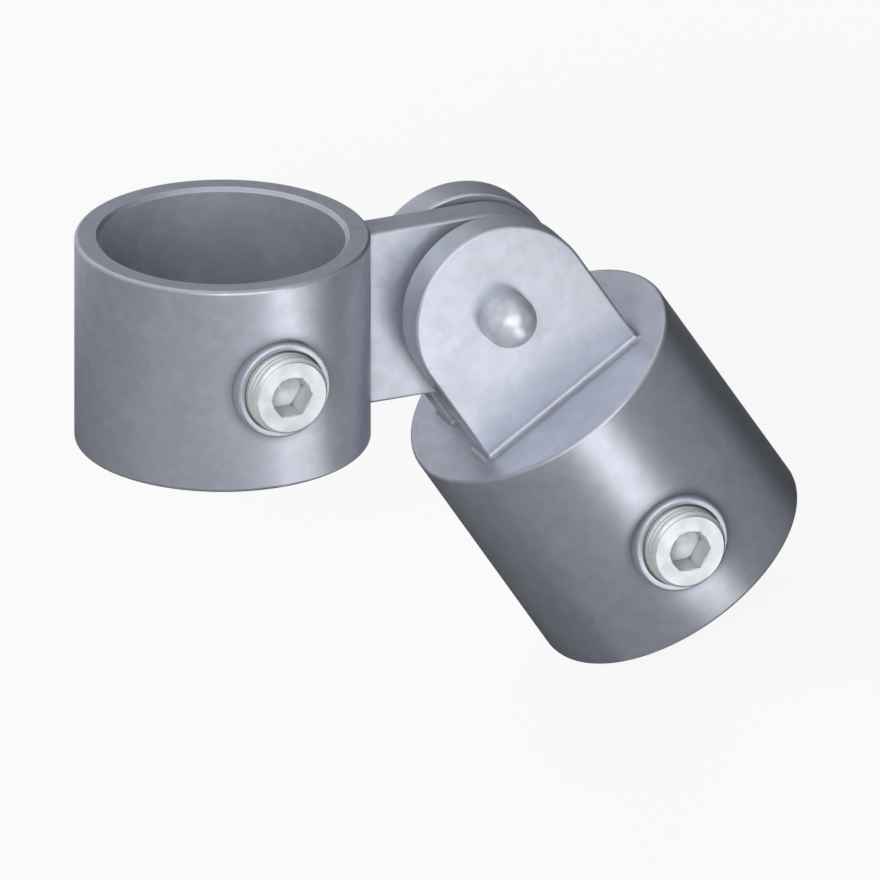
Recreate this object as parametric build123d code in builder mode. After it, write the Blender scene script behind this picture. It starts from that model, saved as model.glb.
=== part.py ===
"""Swivel tube clamp for a 48.3 mm rail: a ring collar with a tongue and a blind socket with a fork,
joined by a riveted pivot, each half locked on its tube by a set screw. Millimetres, +Z up.
The origin is the middle of the collar's bore and Z runs along that bore. The pivot turns about Y,
and both set screws and the near cheek of the fork face -Y."""

from build123d import *
import os
from math import cos, radians, sin

# Tube and casting walls
TUBE_D = 48.3
BORE_CLEARANCE = 0.75
CASTING_WALL = 5.1
BORE_R = TUBE_D / 2 + BORE_CLEARANCE
BODY_R = BORE_R + CASTING_WALL

# Ring collar and its tongue
COLLAR_HEIGHT = 44.0
TONGUE_STEP = 3.4
TONGUE_R = COLLAR_HEIGHT / 2 - TONGUE_STEP
TONGUE_THICKNESS = 7.5

# Fork: two cheeks with round ends, either side of the tongue
CHEEK_MARGIN = 0.9
CHEEK_R = TONGUE_R + CHEEK_MARGIN
CHEEK_THICKNESS = 7.5
SIDE_CLEARANCE = 2.05
FORK_INNER = TONGUE_THICKNESS / 2 + SIDE_CLEARANCE
FORK_OUTER = FORK_INNER + CHEEK_THICKNESS

# Pivot: the cheeks' ends clear the collar, and the socket folds flat past the collar's rim
KNUCKLE_CLEARANCE = 6.9
FOLD_CLEARANCE = 2.0
PIVOT_X = BODY_R + CHEEK_R + KNUCKLE_CLEARANCE
FACE_OFFSET = COLLAR_HEIGHT / 2 + FOLD_CLEARANCE
FOLD_ANGLE = 57.0

# Blind socket
SOCKET_LENGTH = 53.6
SOCKET_FLOOR = 7.6
SOCKET_END = FACE_OFFSET + SOCKET_LENGTH
BORE_DEPTH = SOCKET_LENGTH - SOCKET_FLOOR
CHEEK_FOOT = FACE_OFFSET + SOCKET_FLOOR / 2

# Rivet through the knuckle
RIVET_R = 4.0
RIVET_HEAD_R = 5.6
RIVET_HEAD_RIM = 2.4
RIVET_HEAD_HEIGHT = RIVET_HEAD_RIM + RIVET_HEAD_R
RUNNING_FIT = 0.05

# Set screws with a 3/8 inch pipe thread, and the bosses that they sit in
SCREW_R = 8.33
SCREW_LENGTH = 10.25
SCREW_TIP_GAP = 0.25
SCREW_HEX = 8.0
HEX_DEPTH = 5.5
CUP_R = 4.6
CUP_DEPTH = 1.2
CUP_TAPER = 45
THREAD_FIT = 0.05
BOSS_MARGIN = 1.9
BOSS_RISE = 1.7
SCREW_FROM_MOUTH = 20.1
TAP_R = SCREW_R + THREAD_FIT
BOSS_R = SCREW_R + BOSS_MARGIN
BOSS_TOP = BODY_R + BOSS_RISE

# Edge treatments
BODY_EDGE = 0.8
BORE_LEAD = 0.8
CAST_EDGE = 0.6
ROOT_FILLET = 1.2
SCREW_CHAMFER = 0.75
TAP_LEAD = 0.5

# Planes: each casting across its bore and from its -Y side, and square to each set screw
socket_way = Vector(cos(radians(FOLD_ANGLE)), 0, -sin(radians(FOLD_ANGLE)))
pivot = Vector(PIVOT_X, 0, 0)
along = Axis(pivot, socket_way)
collar_axis = Plane(origin=(0, 0, 0), x_dir=(-1, 0, 0), z_dir=(0, 0, 1))
collar_screw = Plane.XZ
tongue_side = Plane(origin=pivot, x_dir=(1, 0, 0), z_dir=(0, -1, 0))
socket_axis = Plane(origin=pivot, x_dir=(0, 1, 0), z_dir=socket_way)
socket_side = Plane(origin=pivot, x_dir=socket_way, z_dir=(0, -1, 0))
screw_centre = pivot + socket_way * (SOCKET_END - SCREW_FROM_MOUTH)
socket_screw = Plane(origin=screw_centre, x_dir=socket_way, z_dir=(0, -1, 0))


def circles_of(radius):
    """A test for round edges of one radius."""
    return lambda edge: edge.geom_type == GeomType.CIRCLE and abs(edge.radius - radius) < 1e-4


def stands_off_floor(edge):
    """A test for the edges of the cheeks that aren't down on the socket's closed face."""
    return (edge.center() - pivot).dot(socket_way) < FACE_OFFSET - CAST_EDGE


os.makedirs("parts", exist_ok=True)

# Ring collar, with the tongue running out of its wall to a round end about the pivot
with BuildPart() as ring_collar:
    with BuildSketch(collar_axis):
        Circle(BODY_R)
    extrude(amount=COLLAR_HEIGHT / 2, both=True)
    fillet(ring_collar.edges().filter_by(circles_of(BODY_R)), BODY_EDGE)

    # Tongue: its rim is rounded first, then its root where it leaves the wall
    with BuildSketch(tongue_side):
        Circle(TONGUE_R)
        with Locations((-PIVOT_X / 2, 0)):
            Rectangle(PIVOT_X, 2 * TONGUE_R)
    extrude(amount=TONGUE_THICKNESS / 2, both=True)
    tongue_rim = ring_collar.faces().filter_by(Axis.Y).edges()
    fillet(tongue_rim.filter_by(lambda edge: edge.center().X > BODY_R), CAST_EDGE)
    collar_wall = ring_collar.faces().filter_by(GeomType.CYLINDER).sort_by(SortBy.AREA)[-1]
    fillet(collar_wall.inner_wires().edges(), ROOT_FILLET)

    # Flat-topped boss for the set screw
    with BuildSketch(collar_screw):
        Circle(BOSS_R)
    extrude(amount=BOSS_TOP)
    fillet(ring_collar.edges().filter_by(circles_of(BOSS_R)), CAST_EDGE)

    # Bore for the tube, the tapped hole into it, and the rivet's hole through the tongue
    with Locations(collar_axis.offset(COLLAR_HEIGHT / 2)):
        Hole(BORE_R)
    chamfer(ring_collar.edges().filter_by(circles_of(BORE_R)), BORE_LEAD)
    with Locations(collar_screw.offset(BOSS_TOP)):
        Hole(TAP_R, depth=BOSS_TOP)
    chamfer(ring_collar.edges().filter_by(circles_of(TAP_R)), TAP_LEAD)
    with Locations(tongue_side.offset(TONGUE_THICKNESS / 2)):
        Hole(RIVET_R + RUNNING_FIT)

# Blind socket: a floor closes the tube's end, and two cheeks stand on it either side of the tongue
with BuildPart() as swivel_socket:
    with BuildSketch(socket_axis.offset(FACE_OFFSET)):
        Circle(BODY_R)
    extrude(amount=SOCKET_LENGTH)
    fillet(swivel_socket.edges().filter_by(circles_of(BODY_R)), BODY_EDGE)

    # Cheeks, sunk into the floor, their rims rounded first and their roots after
    for cheek_start in (FORK_INNER, -FORK_OUTER):
        with BuildSketch(socket_side.offset(cheek_start)):
            Circle(CHEEK_R)
            with Locations((CHEEK_FOOT / 2, 0)):
                Rectangle(CHEEK_FOOT, 2 * CHEEK_R)
        extrude(amount=CHEEK_THICKNESS)
    cheek_edges = swivel_socket.faces().filter_by(Axis.Y).edges()
    fillet(cheek_edges.filter_by(stands_off_floor), CAST_EDGE)
    closed_face = swivel_socket.faces().filter_by(along).sort_by(along)[0]
    fillet(closed_face.inner_wires().edges(), ROOT_FILLET)

    # Flat-topped boss for the set screw
    with BuildSketch(socket_screw):
        Circle(BOSS_R)
    extrude(amount=BOSS_TOP)
    fillet(swivel_socket.edges().filter_by(circles_of(BOSS_R)), CAST_EDGE)

    # Blind bore for the tube, the tapped hole into it, and the rivet's hole through the cheeks
    with Locations(socket_axis.offset(SOCKET_END)):
        Hole(BORE_R, depth=BORE_DEPTH)
    with Locations(socket_screw.offset(BOSS_TOP)):
        Hole(TAP_R, depth=BOSS_TOP)
    chamfer(swivel_socket.edges().filter_by(circles_of(TAP_R)), TAP_LEAD)
    with Locations(socket_side.offset(FORK_OUTER)):
        Hole(RIVET_R)

# Pivot rivet: a shank tight in both cheeks and free in the tongue, with a round head at each end
with BuildPart() as pivot_rivet:
    with BuildSketch(Plane(origin=pivot, x_dir=(1, 0, 0), z_dir=(0, 0, 1))):
        with BuildLine():
            crown = (0, FORK_OUTER + RIVET_HEAD_HEIGHT)
            brim = (RIVET_HEAD_R, FORK_OUTER + RIVET_HEAD_RIM)
            TangentArc(crown, brim, tangent=(1, 0))
            Polyline(brim, (RIVET_HEAD_R, FORK_OUTER), (RIVET_R, FORK_OUTER), (RIVET_R, 0))
            Polyline((RIVET_R, 0), (0, 0), crown)
        make_face()
        mirror(about=Plane.XZ)
    revolve(axis=Axis(pivot, (0, 1, 0)))


def set_screw(across):
    """A headless screw from just clear of the tube's bore to proud of its boss."""
    with BuildPart() as screw:
        tip = across.offset(BORE_R + SCREW_TIP_GAP)
        with BuildSketch(tip):
            Circle(SCREW_R)
        extrude(amount=SCREW_LENGTH)
        chamfer(screw.edges().filter_by(circles_of(SCREW_R)), SCREW_CHAMFER)
        with BuildSketch(tip):
            Circle(CUP_R)
        extrude(amount=CUP_DEPTH, taper=CUP_TAPER, mode=Mode.SUBTRACT)
        with BuildSketch(tip.offset(SCREW_LENGTH)):
            RegularPolygon(SCREW_HEX / 2, 6, major_radius=False)
        extrude(amount=-HEX_DEPTH, mode=Mode.SUBTRACT)
    return screw


collar_set_screw = set_screw(collar_screw)
socket_set_screw = set_screw(socket_screw)

for name, piece in (
    ("ring_collar", ring_collar),
    ("swivel_socket", swivel_socket),
    ("pivot_rivet", pivot_rivet),
    ("collar_set_screw", collar_set_screw),
    ("socket_set_screw", socket_set_screw),
):
    piece.part.label = name
    export_step(piece.part, f"parts/{name}.step")
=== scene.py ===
"""A swivel tube clamp in galvanised iron: its finishes, rivet and threaded set screws, and the studio."""

import math

import bmesh
import bpy
from mathutils import Matrix, Vector


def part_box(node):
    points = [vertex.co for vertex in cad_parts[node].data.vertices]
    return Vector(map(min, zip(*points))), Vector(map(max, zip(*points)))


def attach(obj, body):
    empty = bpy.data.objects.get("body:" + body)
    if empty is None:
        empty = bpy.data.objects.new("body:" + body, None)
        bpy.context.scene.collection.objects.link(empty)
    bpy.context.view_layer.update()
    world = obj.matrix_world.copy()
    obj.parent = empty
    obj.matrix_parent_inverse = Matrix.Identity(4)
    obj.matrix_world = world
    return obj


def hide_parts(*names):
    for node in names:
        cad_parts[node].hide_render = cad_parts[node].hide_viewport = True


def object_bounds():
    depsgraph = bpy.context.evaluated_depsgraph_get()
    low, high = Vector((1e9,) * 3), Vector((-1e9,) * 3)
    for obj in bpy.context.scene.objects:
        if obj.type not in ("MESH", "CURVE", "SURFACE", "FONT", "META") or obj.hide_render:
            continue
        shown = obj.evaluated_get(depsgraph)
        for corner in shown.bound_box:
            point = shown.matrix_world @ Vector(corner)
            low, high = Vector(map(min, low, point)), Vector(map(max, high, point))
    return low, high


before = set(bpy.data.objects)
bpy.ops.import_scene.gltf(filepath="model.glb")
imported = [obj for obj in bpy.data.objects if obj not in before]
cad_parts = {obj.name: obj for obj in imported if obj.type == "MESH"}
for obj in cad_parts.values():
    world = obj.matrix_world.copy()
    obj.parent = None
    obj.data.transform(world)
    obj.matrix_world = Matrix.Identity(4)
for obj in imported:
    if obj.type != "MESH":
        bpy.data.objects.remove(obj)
cad_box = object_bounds()

MM = 0.001
SHARP_ANGLE = math.radians(32)  # edges that turn more than this stay crisp


# ---------------------------------------------------------------- colours and nodes
def linear(code, alpha=1.0):
    """A hex sRGB colour as the linear RGBA that the shaders take."""
    parts = [int(code[i : i + 2], 16) / 255 for i in (1, 3, 5)]
    return (*[c / 12.92 if c <= 0.04045 else ((c + 0.055) / 1.055) ** 2.4 for c in parts], alpha)


def add(tree, kind, inputs=None, **settings):
    """Add a node, set its own settings, then its inputs: each is a value or another node's output."""
    made = tree.nodes.new(kind)
    for name, value in settings.items():
        setattr(made, name, value)
    for name, value in (inputs or {}).items():
        if isinstance(value, bpy.types.NodeSocket):
            tree.links.new(value, made.inputs[name])
        else:
            made.inputs[name].default_value = value
    return made


def new_material(name):
    """An empty node material and its tree, ready for a shader."""
    material = bpy.data.materials.new(name)
    material.use_nodes = True
    tree = material.node_tree
    tree.nodes.clear()
    return material, tree


def per_metre(size_mm):
    """The texture scale whose features are this many millimetres across."""
    return 1 / (size_mm * MM)


# ---------------------------------------------------------------- finishes
def galvanised_casting(name, shift):
    """Malleable iron casting, hot-dip galvanised: a cool grey zinc skin over fine sand-cast grain.

    Its patterns are moved along by shift, in metres, so that no two castings are marked alike.
    """
    material, tree = new_material(name)
    place = add(tree, "ShaderNodeTexCoord").outputs["Object"]
    moved = add(tree, "ShaderNodeMapping", {"Vector": place, "Location": (shift, 0, 0)}).outputs[0]

    # Zinc freezes in soft patches about 9 mm across, broken by crystals of about 2 mm
    patches = add(
        tree, "ShaderNodeTexNoise",
        {"Vector": moved, "Scale": per_metre(9), "Detail": 3.0, "Roughness": 0.55},
    ).outputs["Fac"]
    crystals = add(
        tree, "ShaderNodeTexVoronoi", {"Vector": moved, "Scale": per_metre(2.2), "Randomness": 1.0}
    ).outputs["Color"]
    crystal = add(tree, "ShaderNodeSeparateColor", {"Color": crystals}).outputs["Red"]
    mottle = add(
        tree, "ShaderNodeMix", {"Factor": 0.25, "A": patches, "B": crystal}, data_type="FLOAT"
    ).outputs["Result"]
    colour = add(tree, "ShaderNodeValToRGB", {"Fac": mottle})
    ramp = colour.color_ramp
    ramp.elements[0].position, ramp.elements[0].color = 0.30, linear("#BDC1CB")
    ramp.elements[1].position, ramp.elements[1].color = 0.70, linear("#C9CDD8")

    # Painted highlight: wherever a bevelled normal turns from the true one, on rounded edges and in
    # filleted corners alike, the colour is painted lighter
    soft_normal = add(tree, "ShaderNodeBevel", {"Radius": 0.8 * MM}, samples=4).outputs[0]
    true_normal = add(tree, "ShaderNodeNewGeometry").outputs["Normal"]
    turned = add(
        tree, "ShaderNodeVectorMath", {0: soft_normal, 1: true_normal}, operation="DOT_PRODUCT"
    ).outputs["Value"]
    edge = add(
        tree, "ShaderNodeMapRange", {"Value": turned, "From Min": 0.995, "From Max": 0.90}
    ).outputs["Result"]
    # The edge mask lays the painted highlight colour over the mottle
    edge_highlighted = add(
        tree, "ShaderNodeMix",
        {"Factor": edge, "A": colour.outputs["Color"], "B": linear("#DADDE2")},
        data_type="RGBA",
    )

    # Painted shade: corners where two faces of the casting meet are painted darker, found by its own
    # ambient occlusion
    openness = add(
        tree, "ShaderNodeAmbientOcclusion", {"Distance": 2.2 * MM}, samples=4, only_local=True
    ).outputs["AO"]
    open_face = add(
        tree, "ShaderNodeMapRange", {"Value": openness, "From Min": 0.55, "From Max": 0.9}
    ).outputs["Result"]
    skin = add(
        tree, "ShaderNodeMix",
        {"Factor": open_face, "A": linear("#767981"), "B": edge_highlighted.outputs[2]},
        data_type="RGBA",
    )

    rough = add(
        tree, "ShaderNodeMapRange", {"Value": mottle, "To Min": 0.41, "To Max": 0.35}
    ).outputs["Result"]
    # Sand grain about 0.7 mm across shows through the zinc, which also lies in slow shallow waves
    grain = add(
        tree, "ShaderNodeTexNoise",
        {"Vector": moved, "Scale": per_metre(0.7), "Detail": 2.0, "Roughness": 0.5},
    ).outputs["Fac"]
    fine = add(
        tree, "ShaderNodeBump", {"Height": grain, "Strength": 0.25, "Distance": 0.05 * MM}
    ).outputs["Normal"]
    waves = add(
        tree, "ShaderNodeBump",
        {"Height": patches, "Strength": 0.15, "Distance": 0.25 * MM, "Normal": fine},
    ).outputs["Normal"]
    shader = add(
        tree, "ShaderNodeBsdfPrincipled",
        {"Base Color": skin.outputs[2], "Roughness": rough, "Normal": waves, "Metallic": 0.78},
    )
    add(tree, "ShaderNodeOutputMaterial", {"Surface": shader.outputs["BSDF"]})
    return material


RING_PITCH = 0.5  # mm between turning rings


def zinc_plate(name, axis_at, tone_low, tone_high, roughness, metallic):
    """Steel, bright zinc plated: pale silver, with faint turning rings round an axis along Y.

    The axis goes through the point axis_at.
    """
    material, tree = new_material(name)
    place = add(tree, "ShaderNodeTexCoord").outputs["Object"]
    centred = add(tree, "ShaderNodeMapping", {"Vector": place, "Location": -axis_at}).outputs[0]
    cloud = add(
        tree, "ShaderNodeTexNoise",
        {"Vector": centred, "Scale": per_metre(3), "Detail": 3.0},
    ).outputs["Fac"]
    colour = add(tree, "ShaderNodeValToRGB", {"Fac": cloud})
    ramp = colour.color_ramp
    ramp.elements[0].position, ramp.elements[0].color = 0.35, linear(tone_low)
    ramp.elements[1].position, ramp.elements[1].color = 0.65, linear(tone_high)
    # Painted shade: inside the socket and at the thread's root, where the screw's walls or nearby parts
    # close round a point, the colour is painted darker
    openness = add(
        tree, "ShaderNodeAmbientOcclusion", {"Distance": 5 * MM}, samples=4
    ).outputs["AO"]
    bright = add(
        tree, "ShaderNodeMapRange", {"Value": openness, "From Min": 0.1, "From Max": 0.55}
    ).outputs["Result"]
    shaded = add(
        tree, "ShaderNodeMix",
        {"Factor": bright, "A": linear("#989F9F"), "B": colour.outputs["Color"]},
        data_type="RGBA",
    )
    # Painted shade: the thread's root and the corners of the socket are painted darker still, found by
    # the screw's own ambient occlusion
    tightness = add(
        tree, "ShaderNodeAmbientOcclusion", {"Distance": 1.2 * MM}, samples=4, only_local=True
    ).outputs["AO"]
    out_of_crease = add(
        tree, "ShaderNodeMapRange", {"Value": tightness, "From Min": 0.35, "From Max": 0.7}
    ).outputs["Result"]
    crease_shaded = add(
        tree, "ShaderNodeMix", {"Factor": out_of_crease, "A": linear("#5F6565"), "B": shaded.outputs[2]},
        data_type="RGBA",
    )
    rough = add(
        tree, "ShaderNodeMapRange",
        {"Value": cloud, "To Min": roughness + 0.05, "To Max": roughness - 0.05},
    ).outputs["Result"]
    # Turning rings, further apart than a lathe leaves them so that they show
    rings = add(
        tree, "ShaderNodeTexWave",
        {"Vector": centred, "Scale": per_metre(RING_PITCH * 20 / math.tau), "Distortion": 0.6,
         "Detail": 1.0},
        wave_type="RINGS", rings_direction="Y",
    ).outputs["Fac"]
    bump = add(
        tree, "ShaderNodeBump", {"Height": rings, "Strength": 0.12, "Distance": 0.02 * MM}
    ).outputs["Normal"]
    shader = add(
        tree, "ShaderNodeBsdfPrincipled",
        {"Base Color": crease_shaded.outputs[2], "Roughness": rough, "Normal": bump,
         "Metallic": metallic},
    )
    add(tree, "ShaderNodeOutputMaterial", {"Surface": shader.outputs["BSDF"]})
    return material


# ---------------------------------------------------------------- finishes on the CAD pieces
def middle_of(node_name):
    """The middle of a CAD piece's box."""
    lowest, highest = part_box(node_name)
    return (lowest + highest) / 2


FINISH = {
    "ring_collar": galvanised_casting("galvanised malleable iron, collar", 0.0),
    "swivel_socket": galvanised_casting("galvanised malleable iron, socket", 0.37),
}
for node_name, material in FINISH.items():
    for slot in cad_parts[node_name].material_slots:
        slot.material = material


# ---------------------------------------------------------------- new pieces
def as_object(name, shape):
    """Put a finished bmesh into the scene as an object at the origin."""
    mesh = bpy.data.meshes.new(name)
    shape.to_mesh(mesh)
    shape.free()
    made = bpy.data.objects.new(name, mesh)
    bpy.context.collection.objects.link(made)
    return made


# ---------------------------------------------------------------- pivot rivet
RIVET_R = 4.0 * MM
CHEEK_FACE = 13.3 * MM  # from the middle of the fork to the outside of each cheek
HEAD_RIM = 2.4 * MM  # straight side of each head, under its dome
ROUND_STEPS = 96
DOME_STEPS = 20
POLE_WELD = 0.001 * MM


def round_head_rivet(name, node_name, body, material):
    """A rivet with a round head at each end, turned about its own axis in the place of the CAD one."""
    lowest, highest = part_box(node_name)
    middle = (lowest + highest) / 2
    head_r = (highest.x - lowest.x) / 2
    dome_at = CHEEK_FACE + HEAD_RIM
    dome_rise = highest.y - middle.y - dome_at
    # Half the outline as (radius, distance from the middle), from a head's top to the shank
    turns = [math.pi / 2 * k / DOME_STEPS for k in range(DOME_STEPS + 1)]
    half = [(head_r * math.sin(turn), dome_at + dome_rise * math.cos(turn)) for turn in turns]
    half += [(head_r, CHEEK_FACE), (RIVET_R, CHEEK_FACE)]
    outline = half + [(reach, -along) for reach, along in reversed(half)]
    shape = bmesh.new()
    points = [
        shape.verts.new((middle.x + reach, middle.y + along, middle.z)) for reach, along in outline
    ]
    for first, second in zip(points, points[1:]):
        shape.edges.new((first, second))
    bmesh.ops.spin(
        shape, geom=shape.verts[:] + shape.edges[:], cent=middle, axis=(0, 1, 0),
        angle=math.tau, steps=ROUND_STEPS, use_merge=True,
    )
    bmesh.ops.remove_doubles(shape, verts=shape.verts, dist=POLE_WELD)
    bmesh.ops.recalc_face_normals(shape, faces=shape.faces)
    for face in shape.faces:
        face.smooth = True
    rivet = as_object(name, shape)
    rivet.data.set_sharp_from_angle(angle=SHARP_ANGLE)
    rivet.data.materials.append(material)
    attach(rivet, body)
    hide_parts(node_name)


rivet_zinc = zinc_plate(
    "zinc coated steel, rivet", middle_of("pivot_rivet"), "#C6CAD3", "#D9DCE5", 0.34, 0.55
)
round_head_rivet("round_head_rivet", "pivot_rivet", "socket", rivet_zinc)

# ---------------------------------------------------------------- set screws
PITCH = 1.337 * MM  # 3/8 inch parallel pipe thread, 19 threads to the inch
CREST_R = 8.33 * MM
ROOT_R = 7.475 * MM
END_R = 7.45 * MM  # each end is turned down just past the thread's root
HEX_FLATS = 8.0 * MM
HEX_DEPTH = 5.5 * MM
COUNTERSINK_R = HEX_FLATS / 2 + 0.35 * MM
COUNTERSINK_DEPTH = 0.5 * MM
DRILL_R = 3.9 * MM
DRILL_TIP_R = 0.1 * MM
DRILL_DEPTH = 1.6 * MM
CUP_R = 4.6 * MM
CUP_DEPTH = 1.2 * MM
TURN_STEPS = 72
FORM_POINTS = 10  # along the thread's form, for each pitch
SPARE = 1.3 * PITCH  # thread made past each end of the rod and then cut off
SEAM_WELD = 0.004 * MM
CUT_WELD = 0.002 * MM
CUT_SIDES = 48
CLEAR = 0.4 * MM  # how far a cutter stands out of the face that it cuts
OVERLAP = 0.01 * MM  # how far the drill's cutter reaches into the hexagon's


def threaded_blank(length):
    """A rod with a rounded 55 degree thread, from z = 0 down to -length, with a chamfer at each end."""
    shape = bmesh.new()
    rise = PITCH / FORM_POINTS
    bottom = -length - SPARE
    form_height = length + 2 * SPARE - PITCH  # the turn adds the last pitch
    # A cosine of this height and pitch has the thread's 55 degree flanks and round crests
    form = [
        shape.verts.new((
            (CREST_R + ROOT_R) / 2 + (CREST_R - ROOT_R) / 2 * math.cos(math.tau * k / FORM_POINTS),
            0,
            bottom + k * rise,
        ))
        for k in range(math.ceil(form_height / rise))
    ]
    for lower, upper in zip(form, form[1:]):
        shape.edges.new((lower, upper))
    # One turn that climbs one pitch lands each thread on the next, so the seam is welded afterwards
    bmesh.ops.spin(
        shape, geom=shape.verts[:] + shape.edges[:], cent=(0, 0, 0), axis=(0, 0, 1),
        dvec=(0, 0, PITCH / TURN_STEPS), angle=math.tau, steps=TURN_STEPS, use_merge=False,
    )
    bmesh.ops.remove_doubles(shape, verts=shape.verts, dist=SEAM_WELD)
    for end, way in ((0, 1), (-length, -1)):
        bmesh.ops.bisect_plane(
            shape, geom=shape.verts[:] + shape.edges[:] + shape.faces[:],
            plane_co=(0, 0, end), plane_no=(0, 0, way), clear_outer=True,
        )
    # A 45 degree chamfer pares the thread away towards each end
    for point in shape.verts:
        reach = math.hypot(point.co.x, point.co.y)
        limit = END_R + min(-point.co.z, point.co.z + length)
        if reach > limit:
            point.co.x *= limit / reach
            point.co.y *= limit / reach
    bmesh.ops.holes_fill(shape, edges=[edge for edge in shape.edges if edge.is_boundary], sides=0)
    bmesh.ops.recalc_face_normals(shape, faces=shape.faces)
    return shape


def cutter(sides, top, top_r, bottom, bottom_r):
    """A closed prism or cone along z between two heights, to be cut out of the blank."""
    shape = bmesh.new()
    bmesh.ops.create_cone(
        shape, cap_ends=True, segments=sides, radius1=bottom_r, radius2=top_r, depth=top - bottom
    )
    bmesh.ops.rotate(shape, verts=shape.verts, matrix=Matrix.Rotation(math.pi / 6, 3, "Z"))
    bmesh.ops.translate(shape, verts=shape.verts, vec=(0, 0, (top + bottom) / 2))
    return shape


def set_screw(name, node_name, body, material):
    """A hexagon socket set screw with a cup point, in the place of its plain CAD stand-in."""
    lowest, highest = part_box(node_name)
    length = highest.y - lowest.y
    screw = as_object(name, threaded_blank(length))
    corner_r = HEX_FLATS / math.sqrt(3)
    hexagon = cutter(6, CLEAR, corner_r, -HEX_DEPTH, corner_r)
    countersink = cutter(
        CUT_SIDES, CLEAR, COUNTERSINK_R + CLEAR, -COUNTERSINK_DEPTH, COUNTERSINK_R - COUNTERSINK_DEPTH
    )
    drill_point = cutter(
        CUT_SIDES, -HEX_DEPTH + OVERLAP, DRILL_R, -HEX_DEPTH - DRILL_DEPTH, DRILL_TIP_R
    )
    cup_point = cutter(
        CUT_SIDES, -length + CUP_DEPTH, CUP_R - CUP_DEPTH, -length - CLEAR, CUP_R + CLEAR
    )
    cuts = (hexagon, countersink, drill_point, cup_point)
    tools = [as_object(f"{name} cutter {k}", shape) for k, shape in enumerate(cuts)]
    for tool in tools:
        step = screw.modifiers.new("cut", "BOOLEAN")
        step.operation, step.solver, step.object = "DIFFERENCE", "EXACT", tool
    bpy.context.view_layer.update()
    finished = screw.evaluated_get(bpy.context.evaluated_depsgraph_get())
    mesh = bpy.data.meshes.new_from_object(finished)
    screw.modifiers.clear()
    screw.data = mesh
    for tool in tools:
        bpy.data.objects.remove(tool)
    shape = bmesh.new()
    shape.from_mesh(mesh)
    bmesh.ops.rotate(shape, verts=shape.verts, matrix=Matrix.Rotation(math.pi / 2, 3, "X"))
    middle = (lowest + highest) / 2
    bmesh.ops.translate(shape, verts=shape.verts, vec=(middle.x, lowest.y, middle.z))
    bmesh.ops.remove_doubles(shape, verts=shape.verts, dist=CUT_WELD)
    bmesh.ops.recalc_face_normals(shape, faces=shape.faces)
    for face in shape.faces:
        face.smooth = True
    shape.to_mesh(mesh)
    shape.free()
    mesh.set_sharp_from_angle(angle=SHARP_ANGLE)
    mesh.materials.clear()
    mesh.materials.append(material)
    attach(screw, body)
    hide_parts(node_name)


for casting in ("collar", "socket"):
    plate = zinc_plate(
        f"bright zinc plated steel, {casting} set screw",
        middle_of(f"{casting}_set_screw"), "#CBCED0", "#DDE0E1", 0.42, 0.6,
    )
    set_screw(f"{casting}_hex_screw", f"{casting}_set_screw", f"{casting}_screw", plate)

# ---------------------------------------------------------------- floor, light and camera
low, high = cad_box
centre = (low + high) / 2
FLOOR_Z = low.z - 0.2 * MM  # just clear of the socket's lowest edge


def aim(thing, at):
    """Turn a lamp or the camera to look at a point."""
    thing.rotation_mode = "QUATERNION"
    thing.rotation_quaternion = (at - thing.location).to_track_quat("-Z", "Y")


def sheet_of(name, size, place, turn=None):
    """A flat rectangular sheet of stage, lying or standing, as an object."""
    shape = bmesh.new()
    bmesh.ops.create_grid(shape, x_segments=1, y_segments=1, size=0.5)
    bmesh.ops.scale(shape, verts=shape.verts, vec=(*size, 1))
    if turn:
        bmesh.ops.rotate(shape, verts=shape.verts, matrix=turn)
    bmesh.ops.translate(shape, verts=shape.verts, vec=place)
    sheet = as_object(name, shape)
    return sheet


def seen_as_backdrop(tree):
    """1 for rays that look at the backdrop, straight or in metal, and 0 for rays that light things."""
    rays = add(tree, "ShaderNodeLightPath")
    looks = add(
        tree, "ShaderNodeMath",
        {0: rays.outputs["Is Camera Ray"], 1: rays.outputs["Is Glossy Ray"]}, operation="MAXIMUM",
    )
    return add(
        tree, "ShaderNodeMath",
        {0: looks.outputs[0], 1: rays.outputs["Is Transmission Ray"]}, operation="MAXIMUM",
    ).outputs[0]


# White paper floor: its own shading keeps the shadow, and it is lifted to white where it is looked at
paper, tree = new_material("white paper")
lit = add(tree, "ShaderNodeBsdfPrincipled", {"Base Color": linear("#F0F0F0"), "Roughness": 0.9})
white = add(tree, "ShaderNodeEmission", {"Color": linear("#FFFFFF"), "Strength": 1.0})
lift = add(tree, "ShaderNodeMath", {0: seen_as_backdrop(tree), 1: 0.9}, operation="MULTIPLY")
both = add(
    tree, "ShaderNodeMixShader",
    {0: lift.outputs[0], 1: lit.outputs["BSDF"], 2: white.outputs["Emission"]},
)
add(tree, "ShaderNodeOutputMaterial", {"Surface": both.outputs["Shader"]})
floor = sheet_of("floor", (8, 8), (0, 0, FLOOR_Z))
floor.data.materials.append(paper)


def card(name, shade, size, place, turn=None, strength=1.0):
    """A plain card that only reflections see, as cards shade bright metal in a studio."""
    flag = sheet_of(name, size, place, turn)
    material, tree = new_material(name)
    tone = add(tree, "ShaderNodeEmission", {"Color": linear(shade), "Strength": strength})
    add(tree, "ShaderNodeOutputMaterial", {"Surface": tone.outputs["Emission"]})
    flag.data.materials.append(material)
    for rays in ("camera", "diffuse", "transmission", "volume_scatter", "shadow"):
        setattr(flag, f"visible_{rays}", False)


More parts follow.
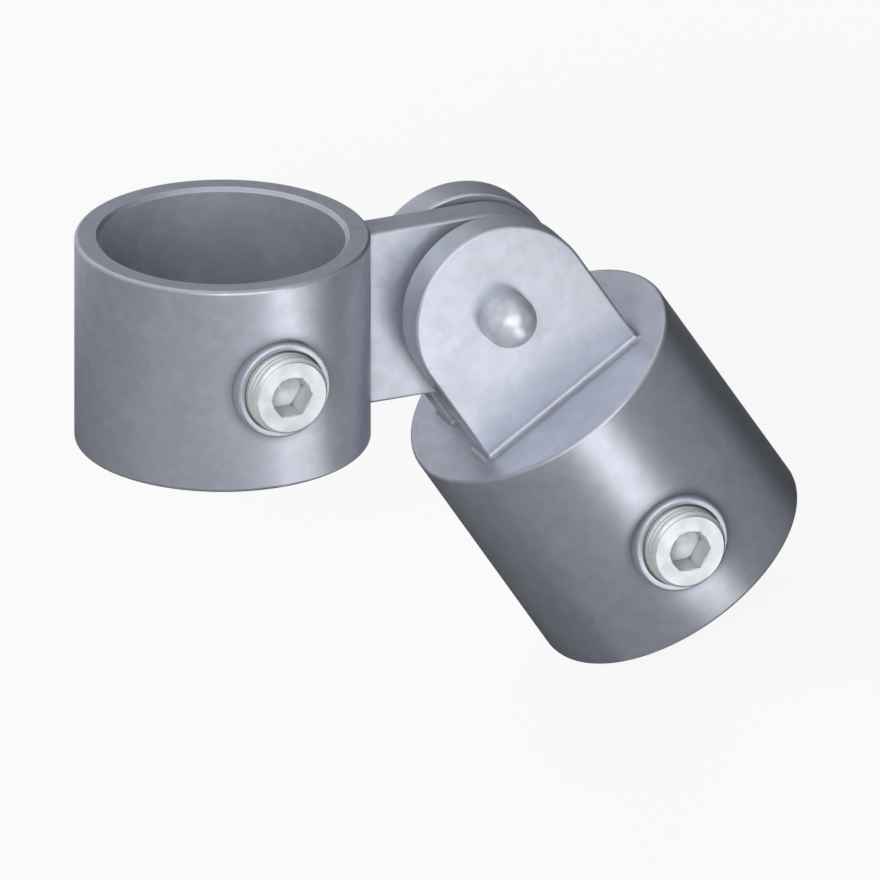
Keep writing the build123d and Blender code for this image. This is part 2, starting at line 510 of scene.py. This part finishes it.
# The floor as the metal sees it, from the widest cards to the smallest, each laid on the ones before
LOWEST_CARD = FLOOR_Z + 0.3 * MM
CARD_STEP = 0.05 * MM
FLOOR_CARDS = (
    # name, shade, strength, then the left, right, near and far edges in metres
    ("far back left card", "#B4B6BC", 1.0, -0.70, 0.12, 0.22, 1.075),
    ("far back right card", "#7A7C82", 1.0, 0.12, 0.90, 0.22, 1.075),
    ("back floor card", "#3C3E44", 1.0, -0.70, 0.90, 0.075, 0.22),
    ("left floor card", "#54565C", 1.0, -0.81, -0.06, -0.05, 0.075),
    ("left front floor card", "#74767C", 1.0, -0.81, -0.01, -0.90, -0.05),
    ("right floor card", "#15161A", 1.0, 0.153, 0.76, -0.90, 0.075),
    ("under card", "#26282C", 1.0, -0.06, 0.16, -0.06, 0.075),
    ("under front card", "#62646A", 1.0, -0.03, 0.11, -0.06, -0.02),
    ("near left card", "#606268", 1.0, -0.05, 0.0875, -0.125, -0.06),
    ("near right card", "#26282C", 1.0, 0.1375, 0.16, -0.125, -0.06),
    ("near reflector", "#FFFFFF", 1.7, 0.0875, 0.1375, -0.125, -0.06),
    ("front left card", "#9A9CA2", 1.0, -0.06, 0.01, -0.50, -0.125),
    ("beside reflector card", "#7A7C82", 1.0, 0.01, 0.065, -0.50, -0.125),
    ("front reflector", "#FFFFFF", 2.4, 0.065, 0.153, -0.50, -0.125),
    ("low highlight card", "#DADCE2", 1.0, 0.015, 0.065, -0.195, -0.125),
)
for layer, (name, shade, strength, left, right, near, far) in enumerate(FLOOR_CARDS):
    middle = ((left + right) / 2, (near + far) / 2, LOWEST_CARD + layer * CARD_STEP)
    card(name, shade, (right - left, far - near), middle, strength=strength)

# Cards that stand round the object, and one over it
STAND_X = Matrix.Rotation(math.pi / 2, 3, "Y")
STAND_Y = Matrix.Rotation(math.pi / 2, 3, "X")
CARD_MIDDLE = FLOOR_Z + 0.45
card("back right card", "#86888E", (0.83, 0.9), (0.535, 0.56, CARD_MIDDLE), STAND_Y)
card("back left card", "#CACCD2", (0.97, 0.9), (-0.365, 0.55, CARD_MIDDLE), STAND_Y)
card("right front card", "#7A7C82", (0.9, 0.9), (0.45, -0.4, CARD_MIDDLE), STAND_X)
card("right back card", "#15161A", (0.9, 0.5), (0.45, 0.3, CARD_MIDDLE), STAND_X)
card("left card", "#84868C", (0.9, 1.4), (-0.55, -0.1, CARD_MIDDLE), STAND_X)
card("front card", "#F0F1F4", (2.4, 1.2), (0, -0.95, FLOOR_Z + 0.75), STAND_Y, strength=2.0)
card("overhead card", "#C4C6CC", (1.6, 1.2), (-0.2, -0.35, FLOOR_Z + 0.9))


def softbox(name, way, distance, width, height, watts):
    """A soft lamp that looks at the object from one direction."""
    lamp = bpy.data.lights.new(name, "AREA")
    lamp.shape, lamp.size, lamp.size_y, lamp.energy = "RECTANGLE", width, height, watts
    holder = bpy.data.objects.new(name, lamp)
    bpy.context.collection.objects.link(holder)
    holder.location = centre + Vector(way).normalized() * distance
    aim(holder, centre)
    return holder


key = softbox("key softbox", (-0.55, -0.78, 0.30), distance=1.2, width=0.5, height=0.5, watts=14.5)
key.visible_glossy = False
softbox("high left fill", (-0.75, 0.15, 0.75), distance=1.2, width=0.6, height=0.6, watts=2.5)
back_fill = softbox("back fill", (0.35, 0.90, 0.25), distance=1.4, width=0.8, height=0.6, watts=12)
back_fill.visible_glossy = False

world = bpy.data.worlds.new("studio")
bpy.context.scene.world = world
world.use_nodes = True
tree = world.node_tree
tree.nodes.clear()
# White where it is looked at, and only a trace of light from all round
level = add(
    tree, "ShaderNodeMapRange", {"Value": seen_as_backdrop(tree), "To Min": 0.05, "To Max": 1.0}
)
sky = add(
    tree, "ShaderNodeBackground", {"Color": linear("#FFFFFF"), "Strength": level.outputs["Result"]}
)
add(tree, "ShaderNodeOutputWorld", {"Surface": sky.outputs[0]})

AZIMUTH, ELEVATION = math.radians(-23.4), math.radians(22.65)
FRAME_WIDTH = 0.178
CAMERA_DISTANCE = 1.5
back = Vector((
    math.sin(AZIMUTH) * math.cos(ELEVATION),
    -math.cos(AZIMUTH) * math.cos(ELEVATION),
    math.sin(ELEVATION),
))
lens = bpy.data.cameras.new("camera")
lens.type = "ORTHO"
lens.ortho_scale = FRAME_WIDTH
camera = bpy.data.objects.new("camera", lens)
bpy.context.collection.objects.link(camera)
camera.location = centre + back * CAMERA_DISTANCE
aim(camera, centre)
bpy.context.scene.camera = camera
bpy.context.scene.view_settings.view_transform = "Standard"
